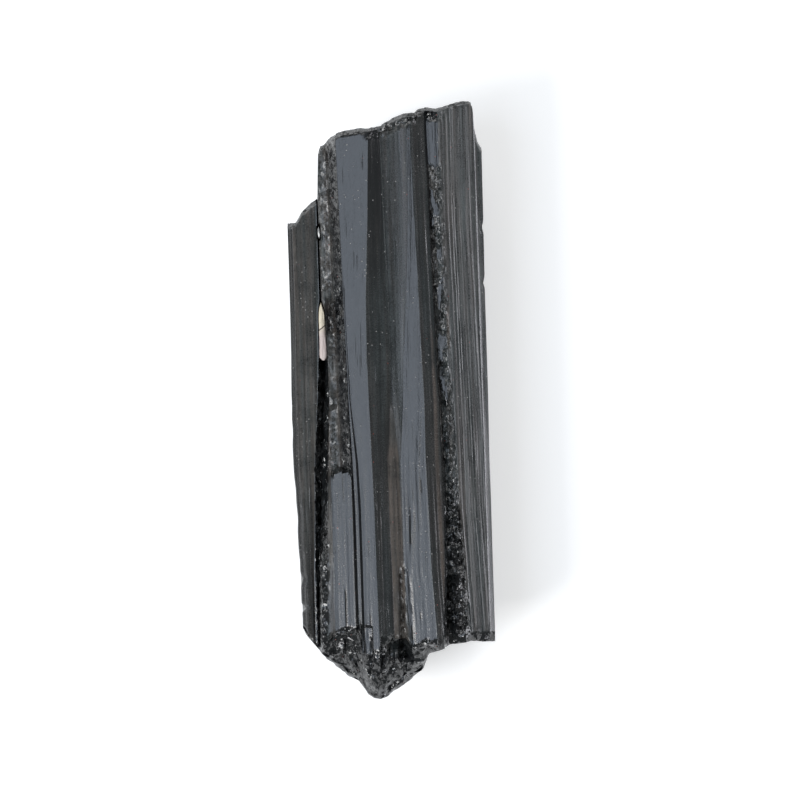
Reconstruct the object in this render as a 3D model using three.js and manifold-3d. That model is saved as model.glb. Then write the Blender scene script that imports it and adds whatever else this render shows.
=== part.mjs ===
// A black tourmaline (schorl) crystal lying on one of its prism faces, in millimetres, +Z up.
// Its long axis runs along Y: the broken head is at +Y, the blunt, rough-ended tail at -Y. It is one
// natural solid, a main prism with a thinner prism grown along its left side, and a seam between the two.
// A sliver of feldspar and a small chip of quartz are held in the seam, each a solid of its own.
import * as THREE from "three";
import { mergeVertices, toCreasedNormals } from "three/addons/utils/BufferGeometryUtils.js";
import Module from "manifold-3d";

const wasm = await Module();
wasm.setup();

// ---- Driving dimensions -------------------------------------------------------------------------------

const STATIONS = [-54, -25, 0, 25, 54]; // places along Y where the edges of the prism are given
const CREST = 24; // height of the highest edge over the face that the crystal lies on
const RIB_PITCH = 1.1; // spacing of the ribs along the faces
const RIB_HEIGHT = 0.11; // how far a rib stands over the furrow beside it
const CLEARANCE = 0.3; // gap between a held mineral and its pocket
const FAR = 70; // a distance past every end of the crystal
const GRAIN = 1.2; // spacing of the points of a broken end, across and up
const STRIP_STEP = 1.9; // spacing of the points of a broken strip, along Y
const FLANK_BREAK_START = -10.5; // the upper left flank is broken from here to the head
const CREASE = THREE.MathUtils.degToRad(12); // faces meeting at more than this are drawn with an edge

// The long edges of the prism, in order over the top from left to right and back underneath. Each has its x
// at the five stations, tail to head, and its height z, which is one number or one for each station.
const EDGES = {
  thinPrismSide: { x: [-15.95, -16.15, -16.6, -16.3, -16.25], z: 9.5 },
  thinPrismShoulder: { x: [-16.05, -16.25, -16.7, -16.4, -16.4], z: 16.4 },
  thinPrismBevel: { x: [-15.3, -15.35, -15.8, -15.5, -15.5], z: 17.25 },
  thinPrismCrest: { x: [-14.2, -14.0, -14.0, -13.8, -13.7], z: 17.15 },
  seamOuterLip: { x: [-13.6, -12.9, -12.3, -11.8, -11.6], z: 16.9 },
  seamFloor: { x: [-13.1, -12.4, -11.5, -11.3, -11.2], z: [15.8, 15.6, 14.4, 14.2, 14.6] },
  seamInnerLip: { x: [-12.6, -12.1, -10.6, -10.9, -10.9], z: [20.8, 20.2, 17.4, 17.4, 17.4] },
  leftFaceOuter: { x: [-10.5, -10.4, -10.4, -10.7, -10.8], z: 21.0 },
  leftFaceInner: { x: [-7.0, -7.0, -7.2, -7.6, -8.0], z: 21.7 },
  stepFoot: { x: [-6.5, -6.5, -7.05, -7.5, -7.97], z: 22.3 },
  topFaceOuter: { x: [-5.55, -5.55, -6.7, -7.4, -7.95], z: [23.45, 23.5, 23.35, 23.1, 22.8] },
  topFaceInner: { x: [-3.05, -3.35, -3.75, -3.25, -2.5], z: CREST },
  valley: { x: [-0.6, -0.85, -0.1, -0.35, -0.5], z: 22.9 },
  middleFaceRise: { x: [1.7, 1.15, 0.1, -0.1, -0.4], z: 22.6 },
  middleFaceCrown: { x: [2.0, 1.3, 1.9, 3.7, 4.0], z: [22.62, 22.62, 22.73, 22.87, 22.9] },
  middleFaceOuter: { x: [6.4, 5.7, 5.4, 4.85, 4.6], z: [23.6, 23.6, 23.5, 23.1, 23.0] },
  shoulderFoot: { x: [7.6, 8.0, 7.75, 7.2, 6.8], z: [23.1, 22.65, 22.5, 22.1, 22.1] },
  furrow: { x: [8.1, 8.5, 8.1, 7.55, 7.1], z: [20.05, 20.6, 21.05, 21.4, 21.3] },
  rightFaceInner: { x: [11.1, 10.3, 9.7, 9.1, 9.1], z: [20.7, 21.1, 21.4, 21.7, 21.7] },
  rightFaceOuter: { x: [15.15, 15.1, 15.05, 15.0, 14.9], z: 18.5 },
  rightBevel: { x: [15.55, 15.48, 15.36, 15.27, 15.15], z: 18.2 },
  rightLedge: { x: [15.95, 16.0, 16.05, 16.15, 16.3], z: 17.8 },
  rightSide: { x: [15.9, 15.9, 15.95, 16.0, 16.15], z: 12.4 },
  rightSideFoot: { x: [15.7, 15.7, 15.8, 15.85, 15.9], z: 7 },
  underRight: { x: [13.6, 13.6, 13.6, 13.6, 13.6], z: 1.8 },
  baseRight: { x: [11.8, 11.8, 11.8, 11.8, 11.8], z: 0 },
  baseLeft: { x: [-9.0, -9.0, -9.0, -9.0, -9.0], z: 0 },
  underLeft: { x: [-11.8, -11.8, -11.8, -11.8, -11.8], z: 1.6 },
  thinPrismFoot: { x: [-14.9, -14.9, -15.0, -15.0, -15.0], z: 6.2 },
};
const SMOOTH_FACES = ["baseRight", "thinPrismShoulder", "seamOuterLip", "seamFloor", "rightBevel"];

// How far the crystal reaches at its head and at its tail, as [x, y] from left to right.
const HEAD_OUTLINE = [
  [-17, 30.3], [-15, 30.5], [-14, 32], [-12.5, 33.3], [-11.3, 34.2], [-10.95, 41.6], [-10.2, 42.9],
  [-9.2, 43.9], [-7.2, 45], [-4, 45.3], [-2.5, 45.2], [0, 46], [3.5, 47.5], [5.2, 47.6], [6, 48.4],
  [8, 48.5], [9, 48.3], [12, 49.2], [13.2, 49.6], [14.4, 49.6], [14.95, 48.9], [15.15, 45], [15.5, 43],
  [16, 42], [17, 41],
];
const TAIL_OUTLINE = [
  [-17, -36], [-16, -37.4], [-15.3, -39.2], [-14.1, -40.3], [-13.3, -41.4], [-11, -43.5], [-9, -45.5],
  [-7, -46.9], [-5.4, -49.1], [-3.5, -49.8], [-2.3, -49.6], [0, -48], [2.4, -46.2], [4, -45],
  [4.9, -42.2], [7, -41.5], [8.5, -41], [12, -40.5], [15.6, -40.7], [17, -40.6],
];
// Where the top faces stop short of the tail, along the rough break.
const TAIL_BREAK = [
  [-17, -35.5], [-14, -40], [-12, -39.6], [-10.2, -38.4], [-7.5, -37.8], [-6.2, -41.5], [-4.4, -41.8],
  [-3.1, -42], [-2.9, -39.5], [0, -39.2], [2.5, -41], [6.2, -40.6], [8, -39.4], [11, -38.9], [17, -38.6],
];
// How far the rough break falls, from the top faces to where the tail reaches furthest, as [x, fall].
const TAIL_FALL = [[-16, 3], [-12, 4.5], [-9, 8.5], [4.2, 8.5], [6.5, 1]];
const UNDERCUT_TOP = 10; // below this height the tail draws back underneath

// ---- Shapes from numbers ------------------------------------------------------------------------------

// The value at x of a line through points [x, y], straight between them.
function along(points, x) {
  const next = points.findIndex(([px]) => px >= x);
  if (next === 0) return points[0][1];
  if (next < 0) return points[points.length - 1][1];
  const [x0, y0] = points[next - 1];
  const [x1, y1] = points[next];
  return y0 + ((y1 - y0) * (x - x0)) / (x1 - x0);
}

// A repeatable unevenness from -1 to 1 for a pair of numbers.
function uneven(a, b) {
  return Math.sin(a * 2.3 + b * 0.7) * Math.cos(a * 0.9 - b * 1.9);
}

// A closed manifold-3d solid from a three.js geometry.
function solidOf(geometry) {
  const bare = geometry.clone();
  bare.deleteAttribute("normal");
  bare.deleteAttribute("uv");
  const merged = mergeVertices(bare, 1e-4);
  return new wasm.Manifold(
    new wasm.Mesh({
      numProp: 3,
      vertProperties: new Float32Array(merged.attributes.position.array),
      triVerts: new Uint32Array(merged.index.array),
    }),
  );
}

// A three.js geometry from a manifold-3d solid.
function geometryOf(solid) {
  const mesh = solid.getMesh();
  const geometry = new THREE.BufferGeometry();
  geometry.setAttribute("position", new THREE.BufferAttribute(mesh.vertProperties, 3));
  geometry.setIndex(new THREE.BufferAttribute(mesh.triVerts, 1));
  return toCreasedNormals(geometry, CREASE);
}

// A closed geometry from rings of points: walls between neighbouring rings, and a flat lid on each end.
function ringsGeometry(rings) {
  const count = rings[0].length;
  const positions = rings.flat().flatMap((point) => [point.x, point.y, point.z]);
  const faces = [];
  for (let ring = 0; ring + 1 < rings.length; ring++)
    for (let i = 0; i < count; i++) {
      const a = ring * count + i;
      const b = ring * count + ((i + 1) % count);
      faces.push(a, b, b + count, a, b + count, a + count);
    }
  const last = (rings.length - 1) * count;
  const flat = rings[0].map((point) => new THREE.Vector2(point.x, point.z));
  for (const [a, b, c] of THREE.ShapeUtils.triangulateShape(flat, []))
    faces.push(a, b, c, last + c, last + b, last + a);
  const geometry = new THREE.BufferGeometry();
  geometry.setAttribute("position", new THREE.Float32BufferAttribute(positions, 3));
  geometry.setIndex(faces);
  return geometry;
}

// ---- The crystal --------------------------------------------------------------------------------------

// Where a long edge is at one place along Y, as { x, z }.
function edgeAt(name, y) {
  const { x, z } = EDGES[name];
  return {
    x: along(STATIONS.map((station, i) => [station, x[i]]), y),
    z: along(STATIONS.map((station, i) => [station, z[i] ?? z]), y),
  };
}

// How many ribs fit on the face between an edge and the next one.
function ribsOn(name, nextName) {
  if (SMOOTH_FACES.includes(name)) return 0;
  const [a, b] = [edgeAt(name, 0), edgeAt(nextName, 0)];
  return Math.floor(Math.hypot(b.x - a.x, b.z - a.z) / RIB_PITCH);
}

// The section at one place along Y: the long edges, and between them the ribs of the striated faces.
function section(y) {
  const names = Object.keys(EDGES);
  return names.flatMap((name, i) => {
    const nextName = names[(i + 1) % names.length];
    const [here, next] = [edgeAt(name, y), edgeAt(nextName, y)];
    const corner = new THREE.Vector3(here.x, y, here.z);
    const across = new THREE.Vector3(next.x, y, next.z).sub(corner);
    const inward = new THREE.Vector3(across.z, 0, -across.x).normalize();
    const ribs = ribsOn(name, nextName);
    const points = [corner];
    for (let rib = 1; rib <= ribs; rib++) {
      const depth = RIB_HEIGHT * (rib % 2 ? 1 : 0.3 + 0.3 * uneven(i, rib));
      const at = corner.clone().addScaledVector(across, rib / (ribs + 1));
      points.push(at.addScaledVector(inward, depth));
    }
    return points;
  });
}

function prism() {
  return solidOf(ringsGeometry(STATIONS.map(section)));
}

// A repeatable, blocky roughness from 0 to 1 over a broken surface.
function blocky(x, z) {
  const wave = Math.sin(x * 1.7 + 1.4 * Math.sin(z * 0.8)) * Math.cos(z * 1.2 - x * 0.5);
  return Math.round((wave + 1) * 2) / 4;
}

// The places of an outline's points along X, with more put between them so that none are far apart.
function columnsOf(outline) {
  const ends = [-20, ...outline.map(([x]) => x), 20];
  const columns = [ends[0]];
  for (let i = 1; i < ends.length; i++) {
    const gap = ends[i] - ends[i - 1];
    const steps = Math.max(1, Math.round(gap / GRAIN));
    for (let step = 1; step <= steps; step++) columns.push(ends[i - 1] + (gap * step) / steps);
  }
  return columns;
}

// What a break takes off an end: everything from the broken surface outwards. reach(x, z) is the y of that
// surface, and side is 1 at the head and -1 at the tail.
function beyondBreak(outline, reach, side) {
  const columns = columnsOf(outline);
  const low = -4;
  const high = CREST + 4;
  const rows = Math.round((high - low) / GRAIN);
  const positions = [];
  for (const y of [null, side * FAR])
    for (const x of columns)
      for (let row = 0; row <= rows; row++) {
        const z = low + ((high - low) * row) / rows;
        positions.push(x, y ?? reach(x, z), z);
      }
  const at = (layer, column, row) => (layer * columns.length + column) * (rows + 1) + row;
  const faces = [];
  const quad = (a, b, c, d) => faces.push(...(side > 0 ? [a, b, c, a, c, d] : [c, b, a, d, c, a]));
  for (let c = 0; c + 1 < columns.length; c++)
    for (let r = 0; r < rows; r++) {
      quad(at(0, c, r), at(0, c + 1, r), at(0, c + 1, r + 1), at(0, c, r + 1));
      quad(at(1, c, r), at(1, c, r + 1), at(1, c + 1, r + 1), at(1, c + 1, r));
    }
  for (let c = 0; c + 1 < columns.length; c++) {
    quad(at(0, c, 0), at(1, c, 0), at(1, c + 1, 0), at(0, c + 1, 0));
    quad(at(0, c, rows), at(0, c + 1, rows), at(1, c + 1, rows), at(1, c, rows));
  }
  for (let r = 0; r < rows; r++) {
    quad(at(0, 0, r), at(0, 0, r + 1), at(1, 0, r + 1), at(1, 0, r));
    const end = columns.length - 1;
    quad(at(0, end, r), at(1, end, r), at(1, end, r + 1), at(0, end, r + 1));
  }
  const geometry = new THREE.BufferGeometry();
  geometry.setAttribute("position", new THREE.Float32BufferAttribute(positions, 3));
  geometry.setIndex(faces);
  return solidOf(geometry);
}

// How far a place is below the top faces at y.
function depthBelowTop(x, y, z) {
  const names = Object.keys(EDGES);
  const upper = names.slice(names.indexOf("thinPrismShoulder"), names.indexOf("rightSide"));
  const top = upper.map((name) => edgeAt(name, y)).map((edge) => [edge.x, edge.z]);
  return along(top, x) - z;
}

// The head: a break across the axis that leans back just under the top faces, and again under the belly.
function headReach(x, z) {
  const depth = depthBelowTop(x, 44, z);
  const lean = 0.8 * (1 - THREE.MathUtils.smoothstep(depth, 0, 1.3));
  const belly = 3.2 * (1 - THREE.MathUtils.smoothstep(z, 0, 9));
  const rough = 0.3 + 0.7 * THREE.MathUtils.smoothstep(depth, 0.5, 2.5);
  return along(HEAD_OUTLINE, x) - lean - belly - rough * blocky(x, z);
}

// The tail: a rough slope from the ends of the top faces down to the blunt point, then back underneath.
function tailReach(x, z) {
  const fallen = THREE.MathUtils.clamp(depthBelowTop(x, -41, z) / along(TAIL_FALL, x), 0, 1);
  const slope = 1 - (1 - fallen) ** 2;
  const under = 1 - THREE.MathUtils.smoothstep(z, -2, UNDERCUT_TOP);
  const top = along(TAIL_BREAK, x);
  const reach = top + (along(TAIL_OUTLINE, x) - top) * slope;
  const rough = 0.25 + 0.3 * along(TAIL_FALL, x) * slope * (1 - slope) + 0.6 * under;
  return reach + 6 * under + rough * blocky(x, z);
}

// A rough-walled block along Y, for cutting a broken strip out of the prism. profileAt(y) gives its outline
// as [x, z, roughness], over the top from left to right and back underneath.
function roughStrip(profileAt, tail, head) {
  const count = Math.round((head - tail) / STRIP_STEP);
  const rings = [];
  for (let i = 0; i <= count; i++) {
    const y = tail + ((head - tail) * i) / count;
    const ring = profileAt(y).map(
      ([x, z, rough], j) =>
        new THREE.Vector3(x + rough * uneven(y + j, z), y, z + rough * uneven(1.3 * y, 2 * x + j)),
    );
    rings.push(ring);
  }
  return solidOf(ringsGeometry(rings));
}

// The upper left flank, where the outer layer of the main prism has split off along the seam.
function flankBreak() {
  const above = CREST + 4;
  const profileAt = (y) => {
    const outer = -11.7;
    const inner = edgeAt("leftFaceInner", y).x + 0.25;
    const floor = [[inner, 21.5, 0.2], [inner - 1.3, 19.9, 0.35], [-9.8, 18.4, 0.35], [outer, 17, 0.2]];
    return [[outer, above, 0], [inner, above, 0], ...floor];
  };
  return roughStrip(profileAt, FLANK_BREAK_START, FAR);
}

// The sugary furrow between the shoulder and the right-hand faces.
function furrowBreak() {
  const above = CREST + 4;
  const profileAt = (y) => {
    const [foot, face] = [edgeAt("furrow", y), edgeAt("rightFaceInner", y)];
    const left = foot.x - 0.25;
    const right = face.x + 0.15;
    const middle = (left + right) / 2;
    const low = foot.z - 0.4;
    const floor = [
      [right, face.z - 0.4, 0.2],
      [middle, low, 0.3],
      [left, low, 0.25],
      [left, foot.z + 0.4, 0.1],
    ];
    return [[left, above, 0], [right, above, 0], ...floor];
  };
  return roughStrip(profileAt, -FAR, FAR);
}

// ---- The minerals held in the seam --------------------------------------------------------------------

// The feldspar sliver: a point at the head end, sides that draw in a little towards it and a round tail end.
// grow makes it bigger all round, which gives the pocket that it lies in.
function sliverSolid(grow) {
  const halfWidth = 0.66 + grow;
  const waist = 0.5 + grow;
  const shoulder = 0.4 + grow;
  const roundCentre = 7.6;
  const outline = new THREE.Shape();
  outline.moveTo(-halfWidth, roundCentre);
  outline.absarc(0, roundCentre, halfWidth, Math.PI, 2 * Math.PI, false);
  outline.lineTo(waist, 10.3);
  outline.lineTo(shoulder, 14.9);
  outline.lineTo(-0.1, 16.5 + grow);
  outline.lineTo(-waist, 15.6);
  outline.lineTo(-waist - 0.1, 12.9);
  outline.closePath();
  const bar = new THREE.ExtrudeGeometry(outline, {
    depth: 2.7 + 2 * grow,
    bevelEnabled: false,
    curveSegments: 5,
  });
  bar.translate(-11.08, 0, 14.6 - grow);
  return solidOf(bar);
}

// The quartz chip: a thin six-sided splinter pointing at the head, deeper than it is wide.
function chipSolid(grow) {
  const chip = new THREE.ConeGeometry(0.28 + grow, 2.1 + 2 * grow, 6);
  chip.scale(1, 1, 2.6);
  chip.translate(-11.2, 28.2, 16.2);
  return solidOf(chip);
}

// ---- The object ---------------------------------------------------------------------------------------

const crystalSolid = prism()
  .subtract(beyondBreak(HEAD_OUTLINE, headReach, 1))
  .subtract(beyondBreak(TAIL_OUTLINE, tailReach, -1))
  .subtract(flankBreak())
  .subtract(furrowBreak())
  .subtract(sliverSolid(CLEARANCE))
  .subtract(chipSolid(CLEARANCE));

const schorl = new THREE.MeshStandardMaterial({ color: 0x24262a, roughness: 0.35, metalness: 0 });
const feldspar = new THREE.MeshStandardMaterial({ color: 0xcdbcae, roughness: 0.55, metalness: 0 });
const quartz = new THREE.MeshStandardMaterial({ color: 0xf2f0ec, roughness: 0.3, metalness: 0 });

// The middle of the crystal's box, which is put over the origin.
const { min, max } = crystalSolid.boundingBox();
const middleX = (min[0] + max[0]) / 2;
const middleY = (min[1] + max[1]) / 2;

function named(name, solid, material) {
  const mesh = new THREE.Mesh(geometryOf(solid.translate(-middleX, -middleY, 0)), material);
  mesh.name = name;
  return mesh;
}

const crystal = new THREE.Group();
crystal.add(named("tourmaline_crystal", crystalSolid, schorl));
crystal.add(named("feldspar_sliver", sliverSolid(0), feldspar));
crystal.add(named("quartz_chip", chipSolid(0), quartz));

export default crystal;
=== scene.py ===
import math

import bmesh
import bpy
import numpy as np
from mathutils import Matrix, Vector


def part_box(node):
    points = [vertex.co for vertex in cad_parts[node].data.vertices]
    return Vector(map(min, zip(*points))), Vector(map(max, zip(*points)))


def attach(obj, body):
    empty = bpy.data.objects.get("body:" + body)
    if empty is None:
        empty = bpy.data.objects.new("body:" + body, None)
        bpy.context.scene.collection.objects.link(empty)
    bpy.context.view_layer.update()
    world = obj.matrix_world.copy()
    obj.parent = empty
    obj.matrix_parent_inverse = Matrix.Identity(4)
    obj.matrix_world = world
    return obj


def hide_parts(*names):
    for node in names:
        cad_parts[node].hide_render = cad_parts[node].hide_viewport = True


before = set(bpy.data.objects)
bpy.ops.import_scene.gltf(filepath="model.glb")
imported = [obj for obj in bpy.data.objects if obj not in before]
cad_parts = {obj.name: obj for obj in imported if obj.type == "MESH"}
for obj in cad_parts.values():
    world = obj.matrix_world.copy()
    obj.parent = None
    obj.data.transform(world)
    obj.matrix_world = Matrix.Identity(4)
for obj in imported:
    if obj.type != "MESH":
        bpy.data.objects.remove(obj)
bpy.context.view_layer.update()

# ---- Camera and picture -------------------------------------------------------------------------------
# A long lens looks straight down on the lying crystal. It is rolled a little, so that the crystal leans
# to the left at its head. Tones are kept as they are, so that black stays black beside the white floor.
bpy.context.scene.view_settings.view_transform = "Standard"
bpy.context.scene.view_settings.look = "None"

roll = math.radians(1.8)
lens_mm = 180.0
sensor_mm = 36.0
reference_height = 0.015  # this high above the floor, the picture is picture_width wide
picture_width = 0.13333
bpy.ops.object.select_all(action="DESELECT")
bpy.ops.object.camera_add(
    location=(0.00165, 0.00003, reference_height + picture_width * lens_mm / sensor_mm),
    rotation=(0.0, 0.0, -roll),
)
camera = bpy.context.object
camera.name = "camera_above"
camera.data.lens = lens_mm
camera.data.sensor_width = sensor_mm
bpy.context.scene.camera = camera

# ---- Floor --------------------------------------------------------------------------------------------
# A plain white sheet, much wider than the picture, lit a little from below as on a light table.
bpy.ops.object.select_all(action="DESELECT")
bpy.ops.mesh.primitive_grid_add(x_subdivisions=24, y_subdivisions=24, size=1.6, location=(0.0, 0.0, 0.0))
floor = bpy.context.object
floor.name = "floor"
paper = bpy.data.materials.new("white_paper")
paper.use_nodes = True
paper_shader = paper.node_tree.nodes["Principled BSDF"]
paper_shader.inputs["Base Color"].default_value = (0.86, 0.86, 0.86, 1.0)
paper_shader.inputs["Roughness"].default_value = 0.9
paper_shader.inputs["Specular IOR Level"].default_value = 0.1
paper_shader.inputs["Emission Color"].default_value = (1.0, 1.0, 1.0, 1.0)
paper_shader.inputs["Emission Strength"].default_value = 0.43
floor.data.materials.append(paper)

# ---- Lights -------------------------------------------------------------------------------------------
# A large cool softbox hangs to the left of the lens: the faces of the crystal that lean left mirror it. The
# key light stands beyond its tail and to the left, where its long faces never mirror it, and throws a soft
# shadow to the right. A thin strip low on the right is mirrored by the bevel along the right-hand side.
world = bpy.data.worlds.new("dim_studio")
bpy.context.scene.world = world
world.use_nodes = True
world.node_tree.nodes["Background"].inputs["Color"].default_value = (0.93, 1.0, 1.0, 1.0)
world.node_tree.nodes["Background"].inputs["Strength"].default_value = 0.2


# A softbox that faces the crystal. tilt_x and tilt_y are how far it stands from straight above, in degrees,
# towards +X and towards +Y. Its length runs along Y as nearly as it can; glow is how bright its face looks.
def softbox(name, distance, tilt_x, tilt_y, width, length, glow, color):
    toward = Vector((math.tan(math.radians(tilt_x)), math.tan(math.radians(tilt_y)), 1.0)).normalized()
    sideways = Vector((0.0, 1.0, 0.0)).cross(toward).normalized()
    lengthways = toward.cross(sideways)
    bpy.ops.object.select_all(action="DESELECT")
    bpy.ops.object.light_add(type="AREA", location=toward * distance + Vector((0.0, 0.0, 0.02)))
    lamp = bpy.context.object
    lamp.name = name
    lamp.rotation_mode = "QUATERNION"
    lamp.rotation_quaternion = Matrix((sideways, lengthways, toward)).transposed().to_quaternion()
    lamp.data.shape = "RECTANGLE"
    lamp.data.size = width
    lamp.data.size_y = length
    lamp.data.energy = glow * math.pi * width * length
    lamp.data.color = color


softbox("cool_softbox", 0.62, -25.0, 0.0, 0.26, 0.50, 2.1, (0.85, 0.96, 1.13))
softbox("key_softbox", 0.75, -48.0, -29.0, 0.34, 0.34, 11.5, (1.0, 1.0, 1.0))
softbox("head_softbox", 0.75, 8.0, 50.0, 0.50, 0.30, 3.4, (1.0, 1.0, 1.0))
softbox("low_softbox", 0.70, 71.0, 0.0, 0.22, 0.50, 0.8, (1.03, 0.98, 1.04))
softbox("edge_strip", 0.60, 83.0, 0.0, 0.10, 0.60, 8.5, (0.97, 0.98, 1.05))

# ---- The tourmaline crystal ---------------------------------------------------------------------------
# One natural solid of black tourmaline: a main prism with a thinner prism grown along its left side, ribbed
# along its length by growth, sugary where it has split, and broken off at both ends. It lies on one face.
# All its sizes here are in millimetres.
STATIONS = [-52, -38, -28, -18, -10, 0, 8, 15, 17, 30, 45, 52]  # where along Y the long edges are given
MIRROR_TILT = math.tan(math.radians(12.5))  # how steeply the bright faces rise
SOFT_TILT = math.tan(math.radians(4.0))  # how steeply the middle face rises, on the whole
SHOULDER_TILT = math.tan(math.radians(23.0))  # how steeply the shoulder falls away from the bright face
RIGHT_TILT = math.tan(math.radians(28.5))  # how steeply the right-hand face falls
BEVEL_TILT = math.tan(math.radians(41.5))  # how steeply the bevel along the right-hand side falls
CREST = 24.0  # the highest edge
MIDDLE_X, MIDDLE_Y = -0.23, -0.07  # the middle of the crystal's box
CUTS = 14  # cuts made across the length in each of two passes, which gives 15 times 15 rows

# The long edges, over the top from left to right and back underneath. For each: its height z, the number of
# strips on the face between it and the next edge, the height of that face's ribs, half their spacing, and x
# at the stations. A height that changes along the crystal is given at the stations too.
SEAM_FLOOR = [16.3, 16.3, 16.0, 15.4, 15.2, 14.8, 14.2, 14.2, 14.6, 15.4, 15.4, 15.4]
INNER_LIP = [20.9, 20.9, 20.7, 18.6, 17.4, 17.4, 17.4, 17.4, 17.4, 17.4, 17.4, 17.4]
EDGES = [
    ("thin_prism_side", 9.5, 14, 0.11, 0.4,
     [-16.1, -15.9, -16.1, -16.3, -16.65, -16.6, -16.35, -16.3, -16.3, -16.3, -16.3, -16.3]),
    ("thin_prism_shoulder", 16.4, 7, 0.04, 0.4,
     [-16.2, -16, -16.2, -16.4, -16.75, -16.7, -16.45, -16.4, -16.4, -16.4, -16.4, -16.4]),
    ("thin_prism_bevel", 17.25, 13, 0.035, 0.3,
     [-15.4, -15.2, -15.35, -15.55, -15.8, -15.8, -15.6, -15.5, -15.5, -15.5, -15.5, -15.5]),
    ("thin_prism_crest", 17.1, 16, 0.045, 0.25,
     [-14.2, -14.2, -14.2, -14.1, -14, -14, -13.9, -13.82, -13.8, -13.8, -13.7, -13.7]),
    ("seam_rim", 16.9, 2, 0.0, 0.5,
     [-13.85, -13.75, -13.7, -13.3, -13.03, -12.33, -11.88, -11.83, -11.48, -11.48, -11.53, -11.53]),
    ("seam_outer_lip", 16.9, 14, 0.05, 0.6,
     [-13.6, -13.5, -13.45, -13.2, -13, -12.3, -11.85, -11.8, -11.45, -11.45, -11.5, -11.5]),
    ("seam_floor", SEAM_FLOOR, 14, 0.05, 0.6,
     [-13.2, -13.15, -12.95, -12.3, -11.9, -11.4, -11.2, -11.2, -11.3, -11.35, -11.3, -11.3]),
    ("seam_inner_lip", INNER_LIP, 16, 0.08, 0.5,
     [-12.7, -12.7, -12.3, -11.5, -10.9, -10.4, -10.35, -10.5, -11.15, -11.25, -11.1, -11]),
    ("left_face_outer", 21, 24, 0.03, 0.4,
     [-10.3, -10.35, -10.4, -10.4, -10.4, -10.35, -10.3, -10.46, -10.5, -10.7, -10.85, -10.9]),
    ("left_face_inner", 21.7, 3, 0.0, 0.3,
     [-7, -7, -7, -7, -7.05, -7.2, -7.3, -7.46, -7.5, -7.7, -8, -8.1]),
    ("groove_floor", 21.5, 3, 0.0, 0.3,
     [-6.72, -6.72, -6.72, -6.72, -6.85, -7.1, -7.25, -7.4, -7.45, -7.68, -7.98, -8.08]),
    ("step_outer", 22.3, 5, 0.03, 0.3,
     [-6.5, -6.5, -6.5, -6.5, -6.7, -7.05, -7.2, -7.36, -7.4, -7.66, -7.96, -8.06]),
    ("step_inner", 22.4, 2, 0.0, 0.3,
     [-6.0, -6.0, -6.0, -6.0, -6.2, -6.9, -7.05, -7.25, -7.3, -7.64, -7.94, -8.04]),
    ("second_groove", 22.32, 3, 0.0, 0.3,
     [-5.75, -5.75, -5.75, -5.75, -6.0, -6.8, -7.0, -7.2, -7.25, -7.62, -7.92, -8.02]),
    ("top_face_outer", 23.4, 14, 0.012, 0.5,
     [-5.55, -5.55, -5.55, -5.55, -5.8, -6.7, -6.95, -7.14, -7.2, -7.6, -7.9, -8]),
    ("top_face_inner", CREST, 22, 0.03, 0.7,
     [-3.05, -3.15, -3.3, -3.35, -3.5, -3.7, -3.8, -3.68, -3.65, -3, -2.45, -2.3]),
    ("valley", 22.9, 12, 0.05, 0.5,
     [-0.6, -0.6, -0.7, -0.9, -0.9, -0.05, -0.1, -0.1, -0.1, -0.4, -0.5, -0.55]),
    ("middle_face_rise", 22.6, 16, 0.02, 0.6,
     [1.9, 1.7, 1.2, 1.1, 1, 0.05, 0, 0, 0, -0.3, -0.45, -0.5]),
    ("middle_face_crown", 22.8, 20, 0.03, 0.3,
     [2.1, 1.9, 1.2, 1.2, 1.2, 1.9, 2.3, 2.9, 3.1, 3.8, 4, 4]),
    ("middle_face_outer", 23.3, 20, 0.04, 0.25,
     [6.5, 6.3, 5.75, 5.55, 5.35, 5.4, 5.2, 5.08, 5.05, 4.7, 4.4, 4.3]),
    ("shoulder_foot", 22.3, 12, 0.08, 0.5,
     [7.6, 7.5, 8, 8, 7.9, 7.75, 7.5, 7.4, 7.35, 7.1, 6.85, 6.8]),
    ("furrow", 21.0, 20, 0.05, 0.6,
     [8.1, 8.1, 8.5, 8.6, 8.4, 8.1, 7.8, 7.7, 7.65, 7.4, 7.15, 7.1]),
    ("right_face_inner", 21.45, 50, 0.06, 0.24,
     [11.1, 11, 10.5, 10, 9.9, 9.7, 9.5, 9.3, 9.3, 9, 9.1, 9.1]),
    ("right_face_outer", 18.5, 4, 0.0, 1.0,
     [15.15, 15.15, 15.1, 15.1, 15.1, 15.05, 15, 15, 15, 15, 14.95, 14.9]),
    ("right_bevel", 18.2, 6, 0.02, 0.4,
     [15.55, 15.55, 15.5, 15.45, 15.42, 15.36, 15.3, 15.28, 15.28, 15.25, 15.2, 15.15]),
    ("right_ledge", 17.8, 12, 0.08, 0.4,
     [15.95, 16, 16, 16, 16, 16.05, 16.1, 16.1, 16.1, 16.2, 16.3, 16.3]),
    ("right_side", 11.5, 11, 0.11, 0.4,
     [15.9, 15.9, 15.9, 15.9, 15.9, 15.95, 15.95, 15.95, 15.95, 16.05, 16.15, 16.15]),
    ("right_side_foot", 7.0, 11, 0.11, 0.5, [15.7] * len(STATIONS)),
    ("under_right", 1.8, 4, 0.03, 0.8, [13.6] * len(STATIONS)),
    ("base_right", 0.0, 10, 0.0, 1.0, [11.8] * len(STATIONS)),
    ("base_left", 0.0, 5, 0.03, 0.8, [-9.0] * len(STATIONS)),
    ("under_left", 1.6, 10, 0.11, 0.6, [-11.8] * len(STATIONS)),
    ("thin_prism_foot", 6.2, 7, 0.11, 0.45, [-15.0] * len(STATIONS)),
]
NAMES, HEIGHTS, STRIPS, RIB_HEIGHTS, RIB_WIDTHS, PLACES = zip(*EDGES)
FACE = {name: i for i, name in enumerate(NAMES)}
COLUMNS = sum(STRIPS)

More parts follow.
